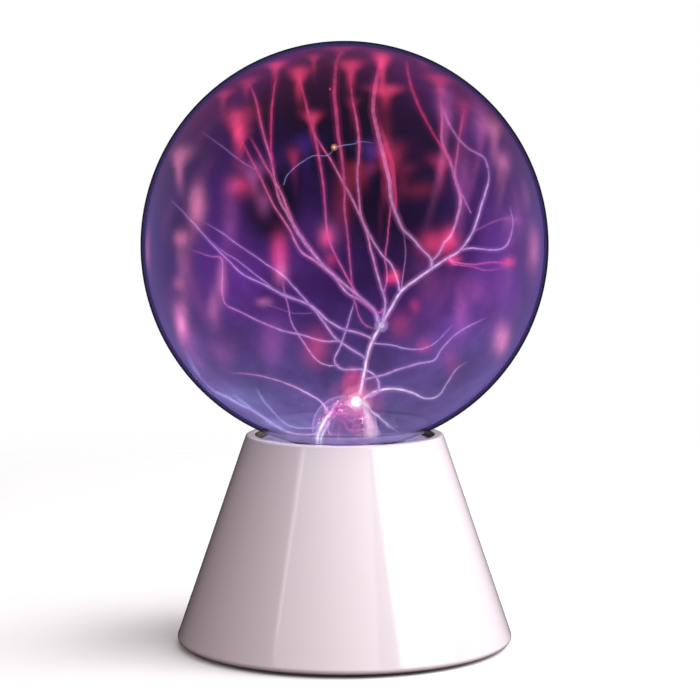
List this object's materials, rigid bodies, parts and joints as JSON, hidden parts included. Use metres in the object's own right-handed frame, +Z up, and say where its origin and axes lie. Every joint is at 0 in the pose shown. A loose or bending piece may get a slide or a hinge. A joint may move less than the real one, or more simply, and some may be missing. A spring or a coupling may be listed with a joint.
{
  "type": "plasma ball",
  "caption": "Clear glass globe with a central high-voltage electrode on a glossy white truncated-cone base, with a rear rocker switch and a low-voltage power inlet.",
  "frame": {"origin": "on the resting surface, under the centre of the base", "axes": "+Z up along the axis of the base and globe; the front faces -Y and the switch and inlet face +Y"},
  "size_m": [0.2032, 0.2032, 0.3019],
  "materials": {
    "globe_glass": "clear, polished; the gas discharge inside tints it violet",
    "electrode_glass": "clear, polished",
    "white_gloss": "high gloss white with a faint mauve tint",
    "black_plastic": "fine matt moulding",
    "cover_plastic": "matt, light grain",
    "rubber": "matt",
    "steel": "zinc plated",
    "steel_wool": "loose steel fibres",
    "brass": "tinned edges",
    "silicone": "satin, off-white",
    "circuit_board": "solder mask green",
    "ferrite": "matt sintered",
    "winding_tape": "polyester tape",
    "copper": "enamelled wire",
    "aluminium": "extruded",
    "capacitor_sleeve": "shrink sleeve",
    "film_capacitor": "dipped",
    "resistor": "lacquered",
    "trimmer_blue": "moulded",
    "red_lead": "silicone sleeve",
    "black_lead": "PVC sleeve",
    "white_lead": "PVC sleeve"
  },
  "bodies": {
    "base": {"globe_glass": "globe_glass", "electrode_glass": "electrode_glass", "exhaust_tip": "electrode_glass", "electrode_wool": "steel_wool", "electrode_rod": "steel", "stem_plug": "silicone", "neck_cement": "silicone", "neck_collar": "black_plastic", "globe_gasket": "rubber", "base_shell": "white_gloss", "bottom_cover": "cover_plastic", "switch_housing": "black_plastic", "dc_jack_body": "black_plastic", "dc_jack_nut": "steel", "dc_jack_pin": "brass", "circuit_board": "circuit_board", "flyback_core": "ferrite", "flyback_winding": "winding_tape", "primary_coil": "copper", "heatsink": "aluminium", "power_transistor": "black_plastic", "heatsink_screw": "steel", "filter_capacitor_1": "capacitor_sleeve", "filter_capacitor_2": "capacitor_sleeve", "film_capacitor": "film_capacitor", "timer_chip": "black_plastic", "sensitivity_trimmer": "trimmer_blue", "microphone": "aluminium", "resistor_1": "resistor", "resistor_2": "resistor", "hv_lead": "red_lead", "jack_lead_positive": "red_lead", "jack_lead_negative": "black_lead", "switch_lead_1": "red_lead", "switch_lead_2": "white_lead", "switch_lead_3": "white_lead", "collar_screw_1": "steel", "switch_terminal_1": "brass", "collar_screw_2": "steel", "switch_terminal_2": "brass", "collar_screw_3": "steel", "switch_terminal_3": "brass", "rubber_foot_1": "rubber", "cover_screw_1": "steel", "board_screw_1": "steel", "rubber_foot_2": "rubber", "cover_screw_2": "steel", "board_screw_2": "steel", "rubber_foot_3": "rubber", "cover_screw_3": "steel", "board_screw_3": "steel", "rubber_foot_4": "rubber", "cover_screw_4": "steel", "board_screw_4": "steel"},
    "rocker": {"switch_rocker": "black_plastic"}
  },
  "joints": [
    {"name": "rocker_hinge", "type": "hinge", "parent": "base", "child": "rocker", "pos_m": [0.0095, 0.07161, 0.02415], "axis": [-1, 0, 0], "range_deg": [0, 24]}
  ]
}
